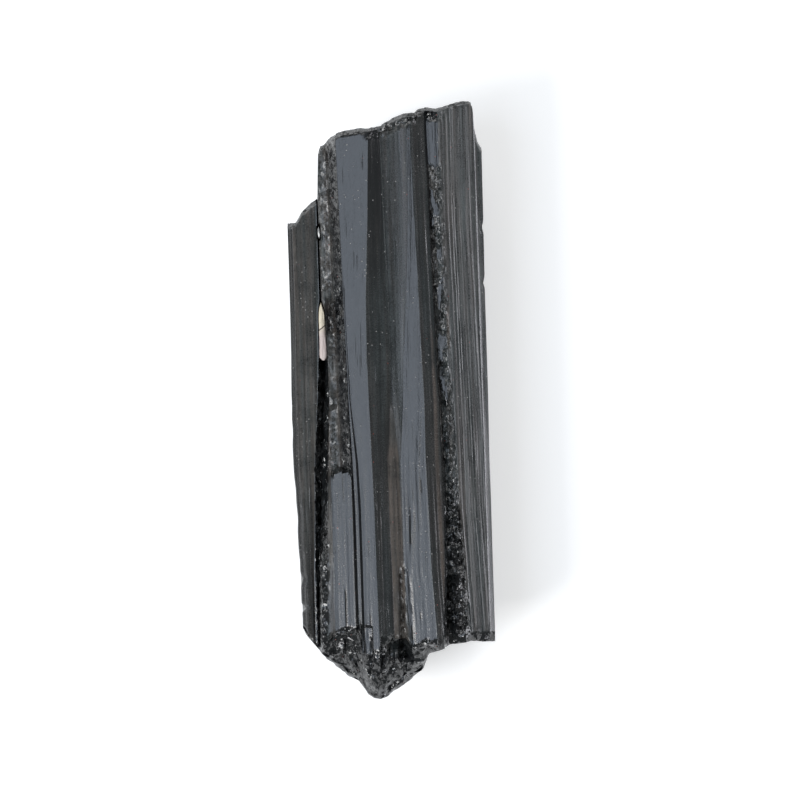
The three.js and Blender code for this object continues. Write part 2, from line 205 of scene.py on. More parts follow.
# How far the crystal reaches at its head and its tail, and where its top faces stop at the tail's break,
# as points (x, y).
HEAD_OUTLINE = [
    (-17, 30.2), (-16.2, 30.3), (-15, 30.4), (-14, 32), (-12.5, 33.3), (-11.3, 34.2),
    (-10.95, 41.6), (-10.5, 42.7), (-10, 42.9), (-9, 44), (-7.2, 44.9), (-4.3, 45.3), (-2.5, 45.2),
    (-1.5, 45.5), (0, 45.9), (1, 46.4), (2, 46.9), (3.6, 47.5), (5.3, 47.6), (5.8, 48.2), (7, 48.5),
    (8, 48.5), (9, 48.3), (10, 48.6), (12, 49.3), (13.4, 49.6), (14.4, 49.6), (14.95, 49),
    (15.15, 45), (15.5, 43), (16, 42), (17, 41),
]
TAIL_OUTLINE = [
    (-17, -36), (-16, -37.4), (-15.4, -39), (-14.1, -40.4), (-13.4, -41.5), (-11, -43.6),
    (-9, -45.6), (-7, -46.8), (-6, -48), (-5, -49.2), (-4.2, -49.7), (-3.2, -49.8), (-2.3, -49.4),
    (0, -47.9), (2.4, -46.1), (4, -44.9), (4.4, -43.6), (4.9, -42.3), (6, -41.9), (8.5, -40.9),
    (12, -40.5), (15.7, -40.7), (17, -40.6),
]
TOP_FACES_END = [
    (-17, -36), (-14.4, -39.8), (-13.6, -40.8), (-12, -39.6), (-10.3, -38.6), (-7.1, -37.8),
    (-6.4, -37.3), (-6.1, -41.6), (-4.4, -41.8), (-4.2, -42), (-3.2, -42.1), (-2.9, -38.9),
    (-1, -39.2), (1.2, -39.4), (2.2, -41), (3.2, -41.2), (4.8, -40.4), (6.2, -40.6), (8, -39.4),
    (11, -38.9), (17, -38.6),
]


def smooth(low, high, value):
    t = np.clip((value - low) / (high - low), 0.0, 1.0)
    return t * t * (3.0 - 2.0 * t)


def between(low, high, value, blur):
    return smooth(low - blur, low + blur, value) * (1.0 - smooth(high - blur, high + blur, value))


# A repeatable number from -1 to 1 for each pair of whole numbers.
def scatter(i, j, seed):
    value = np.sin(i * 127.1 + j * 311.7 + seed * 74.7) * 43758.5453
    return 2.0 * (value - np.floor(value)) - 1.0


# Smooth, repeatable unevenness from -1 to 1, with one bump for each unit of a and of b.
def grain(a, b, seed):
    a, b = np.broadcast_arrays(np.asarray(a, float), np.asarray(b, float))
    cell_a, cell_b = np.floor(a), np.floor(b)
    part_a, part_b = a - cell_a, b - cell_b
    part_a, part_b = part_a * part_a * (3 - 2 * part_a), part_b * part_b * (3 - 2 * part_b)
    here, right = scatter(cell_a, cell_b, seed), scatter(cell_a + 1, cell_b, seed)
    above, above_right = scatter(cell_a, cell_b + 1, seed), scatter(cell_a + 1, cell_b + 1, seed)
    near = here * (1 - part_a) + right * part_a
    far = above * (1 - part_a) + above_right * part_a
    return near * (1 - part_b) + far * part_b


# Flat facets, one for each unit of a and of b or so, that lean every way and do not meet level.
def facets(a, b, seed):
    a, b = np.broadcast_arrays(np.asarray(a, float), np.asarray(b, float))
    cell_a, cell_b = np.floor(a), np.floor(b)
    nearest, height = np.full(a.shape, np.inf), np.zeros(a.shape)
    for step_a, step_b in [(i, j) for i in (-1, 0, 1) for j in (-1, 0, 1)]:
        i, j = cell_a + step_a, cell_b + step_b
        from_a = a - (i + 0.5 + 0.45 * scatter(i, j, seed))
        from_b = b - (j + 0.5 + 0.45 * scatter(i, j, seed + 0.1))
        distance = from_a**2 + from_b**2
        lean = from_a * scatter(i, j, seed + 0.2) + from_b * scatter(i, j, seed + 0.3)
        height = np.where(distance < nearest, 0.4 * scatter(i, j, seed + 0.4) + lean, height)
        nearest = np.minimum(nearest, distance)
    return height


# Split rock: facets of about the given size, with smaller ones on them.
def blocky(a, b, size, seed):
    turned_a, turned_b = (a * 0.8 + b * 0.6) / size, (b * 0.8 - a * 0.6) / size
    small = facets(a / size * 2.2, b / size * 2.2, seed + 1)
    fine = grain(turned_a * 6, turned_b * 6, seed + 2)
    return 0.75 * facets(turned_a, turned_b, seed) + 0.25 * small + 0.1 * fine


# Growth gave the same tilt to faces that look the same way. Each of those keeps its tilt along its whole
# length, so the height of its other edge follows from how wide it is.
edge_x = np.array(PLACES, float)
edge_z = np.array([np.broadcast_to(height, len(STATIONS)) for height in HEIGHTS], float)


def tilt_face(fixed, moved, tilt):
    fixed, moved = FACE[fixed], FACE[moved]
    edge_z[moved] = edge_z[fixed] + tilt * (edge_x[moved] - edge_x[fixed])


tilt_face("seam_outer_lip", "seam_rim", MIRROR_TILT)
tilt_face("left_face_outer", "left_face_inner", MIRROR_TILT)
tilt_face("step_outer", "step_inner", MIRROR_TILT)
tilt_face("top_face_inner", "top_face_outer", MIRROR_TILT)
tilt_face("middle_face_rise", "middle_face_crown", SOFT_TILT)
tilt_face("middle_face_crown", "middle_face_outer", MIRROR_TILT)
tilt_face("middle_face_outer", "shoulder_foot", -SHOULDER_TILT)
tilt_face("right_face_outer", "right_face_inner", -RIGHT_TILT)
tilt_face("right_face_inner", "furrow", MIRROR_TILT)
tilt_face("right_face_outer", "right_bevel", -BEVEL_TILT)

# Each column of the surface lies on one face, at its own share of the way across it.
face_of = np.repeat(np.arange(len(EDGES)), STRIPS)
share_of = np.concatenate([np.arange(strips) / strips for strips in STRIPS])
rib_height = np.array(RIB_HEIGHTS)[face_of]
rib_width = np.array(RIB_WIDTHS)[face_of]


# Where each column of the surface is at the place y along the crystal, one y for each column, and which way
# its face looks.
def section(columns, y):
    face, share = face_of[columns], share_of[columns]
    after = (face + 1) % len(EDGES)

    def at(table, which):
        spot = np.interp(y, STATIONS, np.arange(len(STATIONS)))
        low = np.clip(np.floor(spot).astype(int), 0, len(STATIONS) - 2)
        return table[which, low] + (table[which, low + 1] - table[which, low]) * (spot - low)

    x0, z0, x1, z1 = at(edge_x, face), at(edge_z, face), at(edge_x, after), at(edge_z, after)
    width = np.hypot(x1 - x0, z1 - z0) + 1e-6
    x, z = x0 + (x1 - x0) * share, z0 + (z1 - z0) * share
    return x, z, -(z1 - z0) / width, (x1 - x0) / width, share * width


# The top faces where the head's break and the tail's break begin: x and z, from left to right.
is_upper = (face_of >= FACE["thin_prism_shoulder"]) & (face_of <= FACE["right_ledge"])
upper_columns = np.flatnonzero(is_upper & ((face_of < FACE["right_ledge"]) | (share_of == 0)))
head_top = section(upper_columns, np.full(len(upper_columns), 44.0))[:2]
tail_top = section(upper_columns, np.full(len(upper_columns), -41.0))[:2]


# The break across the head: it leans back just under the top faces, and again under the belly.
def head_reach(x, z):
    depth = np.interp(x, *head_top) - z
    lean = 0.8 * (1.0 - smooth(0.0, 1.3, depth))
    belly = 3.2 * (1.0 - smooth(0.0, 9.0, z))
    relief = 0.3 + 1.5 * smooth(0.5, 3.0, depth)
    return np.interp(x, *zip(*HEAD_OUTLINE)) - lean - belly - relief * (blocky(x, z, 3.2, 5) + 1) * 0.5


# The break at the tail: a rough slope from the ends of the top faces down to the blunt point, and only a
# short bevel across the right-hand part. fall is how far down the slope goes.
def tail_reach(x, z):
    depth = np.interp(x, *tail_top) - z
    fall = np.interp(x, [-16, -12, -9, 4.2, 6.5], [3.0, 4.5, 8.5, 8.5, 1.0])
    fallen = np.clip(depth / fall, 0.0, 1.0)
    slope = 1.0 - (1.0 - fallen) ** 2
    under = 1.0 - smooth(-2.0, 10.0, z)
    top = np.interp(x, *zip(*TOP_FACES_END))
    reach = top + (np.interp(x, *zip(*TAIL_OUTLINE)) - top) * slope
    relief = 0.3 + 0.55 * fall * slope * (1.0 - slope) + 0.8 * under
    lumps = blocky(x, z, 3.4, 11) + 0.4 * blocky(x, z, 1.5, 14)
    return reach + 6.0 * under + (lumps + 0.6) * 0.5 * relief


# The cylinder that the crystal starts from, with a face on each end.
bpy.ops.object.select_all(action="DESELECT")
bpy.ops.mesh.primitive_cylinder_add(
    vertices=COLUMNS, radius=12.0, depth=100.0, end_fill_type="NGON", location=(0.0, 0.0, 12.0),
    rotation=(math.radians(90.0), 0.0, 0.0),
)
crystal = bpy.context.object
crystal.name = "tourmaline_crystal_detailed"
bpy.ops.object.transform_apply(location=True, rotation=True, scale=True)

# Its two rings are given the outline that the crystal has where each column ends, and kept flat for now.
mesh = crystal.data
points = np.array([vertex.co for vertex in mesh.vertices])
# Columns are counted from the left, up and over to the right. The first point of each ring is at the top.
from_top = np.arctan2(points[:, 2] - 12.0, -points[:, 0]) / (2 * math.pi) - 0.25
ring_column = (np.round(from_top * COLUMNS).astype(int) + COLUMNS // 4) % COLUMNS
is_head = points[:, 1] > 0
head_y, tail_y = np.full(COLUMNS, 46.0), np.full(COLUMNS, -42.0)  # a first guess, settled below
every_column = np.arange(COLUMNS)
for settling_round in range(4):
    x, z, _, _, _ = section(every_column, head_y)
    head_y = head_reach(x, z)
    x, z, _, _, _ = section(every_column, tail_y)
    tail_y = tail_reach(x, z)
end_y = np.where(is_head, head_y[ring_column], tail_y[ring_column])
x, z, _, _, _ = section(ring_column, end_y)
column_at = {}
for vertex, vx, vz, number in zip(mesh.vertices, x, z, ring_column):
    vertex.co.x, vertex.co.z = vx, vz
    column_at[tuple(vertex.co)] = number

# The ends are inset and then cut into small cells.
bpy.ops.object.mode_set(mode="EDIT")
bpy.ops.mesh.select_mode(type="FACE")
bpy.ops.mesh.select_all(action="DESELECT")
bpy.ops.object.mode_set(mode="OBJECT")
for polygon in mesh.polygons:
    polygon.select = abs(polygon.normal.y) > 0.9 and len(polygon.vertices) > 4
bpy.ops.object.mode_set(mode="EDIT")
bpy.ops.mesh.inset(thickness=0.12, depth=0.0)
bpy.ops.object.mode_set(mode="OBJECT")
for polygon in mesh.polygons:
    polygon.material_index = 1 if polygon.select else 0
cuts = [((x, 0.0, 0.0), (1.0, 0.0, 0.0)) for x in np.arange(-15.9, 16.0, 0.45)]
cuts += [((0.0, 0.0, z), (0.0, 0.0, 1.0)) for z in np.arange(9.1, 23.6, 0.45)]
cuts += [((0.0, 0.0, z), (0.0, 0.0, 1.0)) for z in np.arange(1.0, 9.0, 1.3)]
bpy.ops.object.mode_set(mode="EDIT")
for spot, across in cuts:
    editing = bmesh.from_edit_mesh(mesh)
    for polygon in editing.faces:
        polygon.select_set(polygon.material_index == 1)
    bpy.ops.mesh.bisect(plane_co=spot, plane_no=across)
bpy.ops.object.mode_set(mode="OBJECT")
for polygon in mesh.polygons:
    polygon.material_index = 0

# The long edges between the two rings are cut into rows. While that is done, each column of the surface
# stands at its own number along X, far below the ends' cells, so that it can be told afterwards.
PARKED = -500.0
ring_corners = set()
for edge in mesh.edges:
    start, end = (mesh.vertices[corner].co for corner in edge.vertices)
    if abs(start.y - end.y) > 1.0:
        ring_corners.update(edge.vertices)
for corner in ring_corners:
    vertex = mesh.vertices[corner]
    vertex.co.x, vertex.co.z = column_at[tuple(vertex.co)], PARKED
for cutting_pass in range(2):
    bpy.ops.object.mode_set(mode="EDIT")
    bpy.ops.mesh.select_mode(type="EDGE")
    bpy.ops.mesh.select_all(action="DESELECT")
    bpy.ops.object.mode_set(mode="OBJECT")
    for edge in mesh.edges:
        start, end = (mesh.vertices[corner].co for corner in edge.vertices)
        edge.select = abs(start.y - end.y) > 1.0
    bpy.ops.object.mode_set(mode="EDIT")
    bpy.ops.mesh.subdivide(number_cuts=CUTS)
    bpy.ops.object.mode_set(mode="OBJECT")

# Every point of the surface: its column and how far along it is, or its place on an end.
points = np.empty(len(mesh.vertices) * 3)
mesh.vertices.foreach_get("co", points)
points = points.reshape(-1, 3)
on_side = points[:, 2] < PARKED + 1.0
column = np.where(on_side, np.round(points[:, 0]), 0).astype(int)
along = (points[:, 1] + 50.0) / 100.0
along = along - 0.35 * np.sin(2 * math.pi * along) / (2 * math.pi)  # rows lie closer near the ends
y = tail_y[column] + (head_y[column] - tail_y[column]) * along
x, z, out_x, out_z, across = section(column, y)
face = face_of[column]
on_head = ~on_side & (points[:, 1] > 0)
on_tail = ~on_side & (points[:, 1] < 0)
x = np.where(on_side, x, points[:, 0])
z = np.where(on_side, z, points[:, 2])
y = np.where(on_side, y, np.where(on_head, head_reach(x, z), tail_reach(x, z)))
plain_x, plain_z = x.copy(), z.copy()

# How far each point is inside the two ends, and some raggedness for the borders of split places.
from_tail = np.where(on_side, y - tail_y[column], 0.0)
from_head = np.where(on_side, head_y[column] - y, 0.0)
inside = smooth(0.0, 1.5, from_tail) * smooth(0.0, 0.5, from_head)
ragged = 0.35 * grain(y / 1.6, x / 2.0, 21) + 0.2 * grain(y / 0.5, x / 0.5, 22)
ragged = ragged + 0.3 * grain(y / 4.5, x / 4.0, 23)


def on_faces(*names):
    return np.isin(face, [FACE[name] for name in names]) & on_side


# The upper left flank has lost its outer layer: a sugary slope, with a steeper and rougher rise beside the
# top face. It begins behind a rounded lip.
flank_inner = np.interp(y, STATIONS, edge_x[FACE["left_face_inner"]])
flank_start = -11.0 - 0.9 * ((x + 8.6) / 1.7) ** 2 + 1.2 * ragged
in_flank = on_faces("seam_inner_lip", "left_face_outer", "left_face_inner") & (x < flank_inner + 0.2)
in_flank = in_flank * smooth(-0.25, 0.25, y - flank_start)
shelf = np.interp(x - flank_inner, [-4.2, -3.4, -1.75, -0.6, 0.25], [17.2, 17.9, 18.0, 20.4, 22.0])
riser = smooth(-1.9, -1.1, x - flank_inner)
pitted = between(11.5, 16.8, y + ragged, 0.5) * smooth(-3.2, -2.4, x - flank_inner)
rough = np.clip(0.6 + 0.4 * riser + 0.6 * pitted, 0.0, 1.0)
bumps = 0.10 * grain(x / 0.35, y / 0.5, 31) + 0.14 * grain(x / 0.9, y / 1.1, 32)
bumps = bumps + (0.4 * riser + 0.45 * pitted) * blocky(y, x, 1.0, 33)
bumps = inside * rough * bumps + 0.12 * (1 - riser) * grain(x / 2.0, y / 2.6, 35) - 0.6 * pitted
z = np.where(in_flank > 0, z + (np.minimum(z, shelf) + bumps - z) * in_flank, z)

# The furrow between the shoulder and the right-hand face is sugary too, from near the head to the tail.
bank = 0.3 + 0.7 * ragged + 0.4 * smooth(-5.0, -30.0, y)
in_furrow = on_faces("furrow") * between(-60, 37.5, y + 2 * ragged, 1.5)
in_furrow = np.maximum(in_furrow, on_faces("right_face_inner") * (1 - smooth(bank, bank + 0.35, across)))
in_furrow = np.maximum(in_furrow, on_faces("shoulder_foot") * smooth(0.6, 1.0, across + 0.8 * ragged) * 0.7)
sound = smooth(0.05, 0.3, grain(y / 2.4, x / 0.7, 46) + 0.5 * ragged) * smooth(-9.0, -4.0, y)
furrow_x = np.interp(y, STATIONS, edge_x[FACE["furrow"]])
sound = np.maximum(sound, between(38.5, 60, y, 0.7)) * smooth(0.0, 0.2, x - furrow_x)
in_furrow = in_furrow * (1 - 0.9 * sound)
deep = 0.45 + 0.6 * smooth(-8.0, -22.0, y)
sugar = deep * blocky(x, y, 1.9, 41) + 0.2 * blocky(y, x, 0.9, 44)
z = z + in_furrow * inside * (sugar - 0.1)
x = x + in_furrow * inside * 0.25 * blocky(y, x, 1.2, 43)

# The walls of the seam are split as well, below the sliver that it holds. A little hole beside it holds a
# chip of quartz.
in_seam = on_faces("seam_outer_lip", "seam_floor") * between(-60, 5.5, y, 1.0)
x = x + in_seam * inside * 0.3 * blocky(y, z, 1.4, 51)
on_inner_lip = on_faces("seam_inner_lip") * between(-40, 4, y, 1) * (1 - smooth(0.5, 1.5, across))
in_seam = np.maximum(in_seam, on_inner_lip)
z = z + in_seam * inside * 0.35 * blocky(x, y, 1.3, 55)
lip_wear = on_faces("thin_prism_crest") * smooth(1.0, 1.9, across) * between(-24, 4, y, 1.5)
z = z + lip_wear * inside * 0.25 * blocky(x, y, 1.1, 53)
chip_hole = between(-11.48, -10.9, x, 0.06) * between(27.1, 29.25, y, 0.15) * (z > 15.2)
z = z - (z - 15.2) * chip_hole

# The middle face is a little hollow, so that it takes the light gradually. A shallow trough runs beside its
# edge towards the tail.
share = share_of[column]
z = z - 0.08 * 4.0 * share * (1.0 - share) * on_faces("middle_face_rise") * smooth(-5.0, 12.0, y)
trough_x = np.interp(y, [-40, -35, -30, -25, -20, -17], [2.4, 2.05, 2.05, 2.4, 2.8, 3.0])
trough = np.exp(-(((x - trough_x) / 0.33) ** 2)) * between(-45.0, -18.5, y, 1.5) * (z > 18) * on_side
z = z - 0.07 * trough

# Ribs of growth along the grown faces.
broken = np.clip(in_flank * (0.45 + 0.35 * riser) + in_furrow + in_seam + 0.5 * lip_wear, 0.0, 1.0)
height, width = rib_height[column], rib_width[column]
ribs = grain(across / width + 0.12 * grain(y / 14.0, face * 3.0, 61), y / 55.0 + face * 7.3, 62)
ribs = ribs + 0.5 * grain(across / width * 2.3, y / 30.0 + face * 5.1, 63)
ribs = ribs * (0.7 + 0.5 * grain(across / 1.1, y / 9.0, 64))
grown = (1.0 - broken) * inside * on_side
x = x + out_x * height * (ribs - 0.6) * grown
z = z + out_z * height * (ribs - 0.6) * grown

# Narrow growth grooves: x at each, where it starts and stops, its depth and half its width.
GROOVES = [
    (-9.75, -38, -20, 0.05, 0.12), (-9.2, -36, -13, 0.03, 0.12), (-8.55, -38, -31, 0.06, 0.12),
    (-9.6, -30, -15, 0.025, 0.15), (-7.8, -38, -20, 0.02, 0.12), (-7.35, -38, -24, 0.02, 0.12),
    (-5.0, -41, -12, 0.03, 0.12), (-4.5, -41, -28, 0.04, 0.12), (-2.2, -38, -18, 0.05, 0.2),
    (2.3, -40, -28, 0.05, 0.15), (3.0, -40, -15, 0.03, 0.15), (3.7, -38, -22, 0.03, 0.15),
    (4.6, -34, -12, 0.03, 0.15), (2.6, -24, -10, 0.05, 0.15), (-6.0, 20, 34, 0.02, 0.12),
    (-5.2, 24, 37, 0.02, 0.12),
]
for groove_x, start, stop, depth, half in GROOVES:
    wander = groove_x + 0.08 * grain(y / 9.0, groove_x, 66)
    profile = np.clip(1.0 - np.abs(x - wander) / half, 0.0, 1.0)
    z = z - depth * profile * between(start, stop, y, 0.8) * (z > 18) * on_side

# Small hollows: the pit beside the middle face, and the deep hole under its end.
pit = between(0.3, 1.1, x, 0.25) * between(-39.5, -27.5, y + 1.5 * ragged, 1.2) * (z > 18)
z = z - 0.9 * pit * (0.7 + 0.6 * blocky(x, y, 1.0, 71))
hole = between(-2.3, 1.6, x + 0.5 * ragged, 0.5) * between(-41.8, -39.8, y + 0.5 * ragged, 0.7) * (z > 12)
z = z - 0.9 * hole
broken = np.maximum(broken, np.maximum(pit, hole))

# Glossy steps, where a strip of the top face has split off before the tail.
steps = between(-6.15, -4.3, x, 0.12) * (1 - smooth(-37.2, -36.8, y + 0.5 * ragged)) * (z > 17)
z = z - steps * (0.4 + 0.12 * facets(x / 0.45, y / 9.0, 73))

# The edges of the head and the tail are crumbled.
head_crumble = (1 - smooth(0.3, 1.7, from_head + ragged)) * between(-3.0, 10.4, x, 0.6) * (z > 15) * on_side
head_edge = (1 - smooth(0.0, 0.4, from_head + 0.4 * ragged)) * (z > 15) * on_side
head_crumble = np.maximum(head_crumble, head_edge)
tail_crumble = (1 - smooth(0.1, 0.9, from_tail + 0.8 * ragged)) * (z > 14) * on_side * (1 - steps)
tail_crumble = tail_crumble * (1 - 0.8 * smooth(8.5, 10.5, x))
crumble = np.maximum(head_crumble, tail_crumble)
z = z - crumble * (0.3 + 0.45 * blocky(x, y, 1.1, 75))
broken = np.where(on_side, np.maximum(broken, crumble), np.where(on_head, 0.8, 0.7))

# The rims of both ends have moved with the faces above them. The rock of the breaks, down to this far below
# the top faces, moves with the rims.
RIM_REACH = 9.0
for on_end, tops, rim in ((on_head, head_top, from_head), (on_tail, tail_top, from_tail)):
    on_rim = on_side & (rim < 1e-3) & np.isin(column, upper_columns)
    order = np.argsort(plain_x[on_rim])
    rim_x, rim_shift = plain_x[on_rim][order], (z - plain_z)[on_rim][order]
    depth = np.interp(x, *tops) - z
    z = np.where(on_end, z + np.interp(x, rim_x, rim_shift) * (1 - smooth(0.0, RIM_REACH, depth)), z)

# The knob at the tail is lumpy all over.
below_top = np.interp(x, *tail_top) - z
knob = on_tail * smooth(0.4, 2.5, below_top) * smooth(3.0, 8.0, z) * between(-14, 4.6, x, 1.5)
lumps = 1.3 * blocky(x, z, 2.4, 91) + 0.4 * blocky(z, x, 1.2, 94)
z = z + knob * lumps
x = x + knob * 0.5 * blocky(z, x, 1.9, 97)

# Chips along the left and right sides.
notch = 0.75 * np.exp(-(((y + 34.1) / 0.45) ** 2)) + 0.35 * np.exp(-(((y + 29.3) / 0.8) ** 2))
scallop = 0.16 * (0.5 + 0.5 * grain(y / 2.4, 0.0, 81)) * smooth(4.0, -4.0, y)
x = np.where((x < -15.1) & on_side, x + (notch + scallop) * smooth(12.0, 14.5, z + 2.5 * ragged), x)
chips = 0.25 * np.exp(-(((y - 28.2) / 0.7) ** 2)) + 0.25 * np.exp(-(((y - 19.0) / 0.6) ** 2))
x = np.where((x > 15.6) & on_side, x - chips * smooth(13.0, 16.0, z + 2.5 * ragged), x)

# How dull with fine dust each place is, and how much iron has stained it.
dull = np.zeros(len(x))
DULL_FACES = [
    ("thin_prism_side", 0.6), ("thin_prism_shoulder", 0.1), ("thin_prism_bevel", 0.75),
    ("thin_prism_crest", 0.75), ("seam_inner_lip", 0.6), ("top_face_inner", 0.4),
    ("valley", 0.7), ("middle_face_rise", 0.42), ("middle_face_outer", 0.33),
    ("shoulder_foot", 0.2), ("right_face_inner", 0.7), ("right_face_outer", 0.1),
    ("right_bevel", 0.6), ("right_ledge", 0.5), ("right_side", 0.5),
    ("right_side_foot", 0.5), ("under_left", 0.6), ("thin_prism_foot", 0.6),
]
for name, amount in DULL_FACES:
    dull[on_faces(name)] = amount
dull = dull * (1 + 0.25 * grain(across / 0.8, y / 25.0, 101))
clean = smooth(40.0, 12.0, y) * (0.7 + 0.3 * smooth(-6.0, 4.0, y))
dull = np.where(on_faces("top_face_inner"), dull * clean, dull)
dull = np.where(x < -12.5, dull * (0.35 + 0.65 * smooth(-42.0, -10.0, y)), dull)
flank_dust = (0.7 - 0.45 * pitted) * (0.8 + 0.4 * grain(x / 1.5, y / 2.5, 103))
dull = np.maximum(dull, in_flank * (1 - riser) * flank_dust)
dull = np.where(in_seam > 0.5, 0.1, dull)
dull = np.where(in_furrow > 0.5, 0.5 - 0.35 * smooth(-8.0, -25.0, y), dull)
dull = np.where(on_head, 0.2, np.where(on_tail, 0.0, dull))
dull = np.maximum(dull, 0.55 * hole)
stain = on_faces("valley") * smooth(-6.0, -9.0, y) * 0.9
stain = np.maximum(stain, on_faces("thin_prism_crest") * between(0.4, 1.1, across, 0.2) * 0.6)
stain = np.maximum(stain, on_faces("thin_prism_bevel") * 0.25)
stain = np.maximum(stain, in_flank * (1 - riser) * (0.35 + 0.35 * grain(x / 0.9, y / 1.3, 105)))
stripe = on_faces("middle_face_outer") * between(1.7, 2.3, across, 0.15)
stain = np.maximum(stain, stripe * smooth(14, 8, y) * 0.9)
stain = np.maximum(stain, between(9.5, 9.95, x, 0.12) * between(8.0, 15.0, y, 1.0) * (z > 17) * 0.9)

# The surface is put in place, in metres, with the middle of its box over the origin.
x, y = x - MIDDLE_X, y - MIDDLE_Y
z = np.maximum(z, 0.0)
mesh.vertices.foreach_set("co", (np.stack([x, y, z], axis=1) / 1000.0).ravel())
for mark, values in (("broken", broken), ("dull", dull), ("stain", stain)):
    attribute = mesh.attributes.new(mark, "FLOAT", "POINT")
    attribute.data.foreach_set("value", np.clip(values, 0.0, 1.0))
mesh.update()
bpy.ops.object.mode_set(mode="EDIT")
bpy.ops.mesh.select_all(action="SELECT")
bpy.ops.mesh.normals_make_consistent(inside=False)
bpy.ops.object.mode_set(mode="OBJECT")
bpy.ops.object.shade_smooth_by_angle(angle=math.radians(24.0))


# Adds a node to a material. Each input is given a value or another node's output.
def add_node(tree, kind, inputs, **settings):
    node = tree.nodes.new("ShaderNode" + kind)
    for name, value in settings.items():
        setattr(node, name, value)
    for name, value in inputs.items():
        if isinstance(value, bpy.types.NodeSocket):
            tree.links.new(value, node.inputs[name])
        else:
            node.inputs[name].default_value = value
    return node


def compute(tree, operation, a, b=0.0, limit=False):
    return add_node(tree, "Math", {0: a, 1: b}, operation=operation, use_clamp=limit).outputs[0]


# The share of the way that value is from low to high, from 0 to 1.
def ramp(tree, value, low, high):
    inputs = {"Value": value, "From Min": low, "From Max": high}
    return add_node(tree, "MapRange", inputs, interpolation_type="SMOOTHSTEP").outputs["Result"]


def mix_color(tree, amount, a, b):
    return add_node(tree, "Mix", {0: amount, 6: a, 7: b}, data_type="RGBA").outputs[2]


def noise(tree, place, scale, detail, roughness=0.5):
    inputs = {"Vector": place, "Scale": scale, "Detail": detail, "Roughness": roughness}
    return add_node(tree, "TexNoise", inputs).outputs["Fac"]


# The schorl itself: black and glossy, finely streaked along its length where it grew and sparkling like
# sugar where it split, under a thin film of grey dust and some brown iron stain.
schorl = bpy.data.materials.new("schorl")
schorl.use_nodes = True
tree = schorl.node_tree
shader = tree.nodes["Principled BSDF"]
place = add_node(tree, "TexCoord", {}).outputs["Object"]
lengthwise = add_node(tree, "Mapping", {"Vector": place, "Scale": (1.0, 0.03, 1.0)}).outputs["Vector"]
marks = {}
for mark in ("broken", "dull", "stain"):
    marks[mark] = add_node(tree, "Attribute", {}, attribute_name=mark).outputs["Fac"]

clouds = noise(tree, place, 230.0, 5.0, 0.62)
specks = noise(tree, place, 5200.0, 2.0)
streaks = noise(tree, lengthwise, 2300.0, 3.0, 0.6)
fine_streaks = noise(tree, lengthwise, 6500.0, 2.0)

# Dust film: thicker in clouds, broken up by streaks and grains.
film = compute(tree, "MULTIPLY", marks["dull"], ramp(tree, clouds, -0.25, 0.85))
grains = compute(tree, "MULTIPLY", ramp(tree, specks, 0.0, 0.9), ramp(tree, streaks, 0.0, 0.9))
film = compute(tree, "MULTIPLY", film, compute(tree, "MULTIPLY", grains, 2.4), limit=True)
black = mix_color(tree, clouds, (0.0045, 0.0055, 0.0065, 1.0), (0.010, 0.0105, 0.0115, 1.0))
tint = ramp(tree, noise(tree, lengthwise, 800.0, 3.0), 0.35, 0.7)
dusty = mix_color(tree, tint, (0.064, 0.079, 0.080, 1.0), (0.092, 0.082, 0.074, 1.0))
color = mix_color(tree, film, black, dusty)
rusty = mix_color(tree, specks, (0.060, 0.045, 0.036, 1.0), (0.130, 0.105, 0.088, 1.0))
stained = compute(tree, "MULTIPLY", ramp(tree, clouds, 0.1, 0.7), ramp(tree, streaks, 0.1, 0.7))
color = mix_color(tree, compute(tree, "MULTIPLY", marks["stain"], stained), color, rusty)

# Sparse crumbs: most are pale grey, a few are rust red.
crumbs = add_node(tree, "TexVoronoi", {"Vector": place, "Scale": 1300.0})
crumb_kind = add_node(tree, "SeparateColor", {"Color": crumbs.outputs["Color"]})
is_crumb = ramp(tree, crumbs.outputs["Distance"], 0.15, 0.08)
patchy = ramp(tree, noise(tree, place, 130.0, 2.0), 0.43, 0.6)
is_pale = compute(tree, "MULTIPLY", is_crumb, ramp(tree, crumb_kind.outputs["Red"], 0.3, 0.35))
is_pale = compute(tree, "MULTIPLY", is_pale, patchy)
color = mix_color(tree, is_pale, color, (0.30, 0.29, 0.28, 1.0))
is_red = compute(tree, "MULTIPLY", is_crumb, ramp(tree, crumb_kind.outputs["Green"], 0.965, 0.97))
color = mix_color(tree, is_red, color, (0.20, 0.045, 0.035, 1.0))
tree.links.new(color, shader.inputs["Base Color"])

# Gloss: the film takes it away, and split places have it unevenly.
gloss_loss = compute(tree, "MAXIMUM", compute(tree, "MULTIPLY", film, 0.8), is_pale)
rough_value = compute(tree, "MULTIPLY_ADD", gloss_loss, 0.5)
rough_value.node.inputs[2].default_value = 0.19
tree.links.new(rough_value, shader.inputs["Roughness"])

